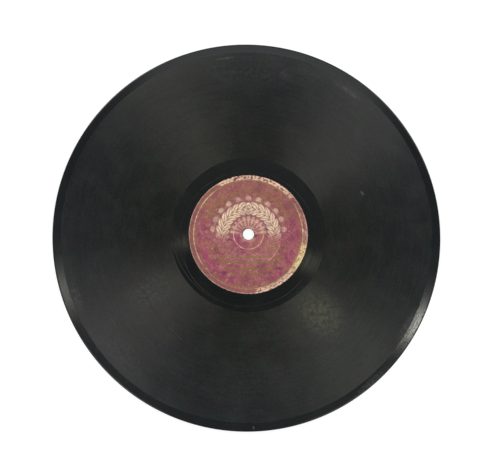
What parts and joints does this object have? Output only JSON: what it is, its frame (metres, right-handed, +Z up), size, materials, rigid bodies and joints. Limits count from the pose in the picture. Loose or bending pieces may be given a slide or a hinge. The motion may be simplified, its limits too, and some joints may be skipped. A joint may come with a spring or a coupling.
{
  "type": "shellac record",
  "caption": "Flat round shellac gramophone record with a rounded rim, a grooved band and a plain run-out on each face, bonded paper labels and a central spindle hole.",
  "frame": {"origin": "on the axis of the spindle hole, in the plane of the lower face that the record lies on", "axes": "+Z up the axis of the spindle hole, out of side A; +X in the disc's plane, to the right as side A is looked at with its print upright"},
  "size_m": [0.25, 0.25, 0.0022],
  "materials": {
    "shellac_compound": "satin",
    "label_paper": "matte"
  },
  "bodies": {
    "root": {"shellac_disc": "shellac_compound", "label_side_a": "label_paper", "label_side_b": "label_paper"}
  },
  "joints": []
}
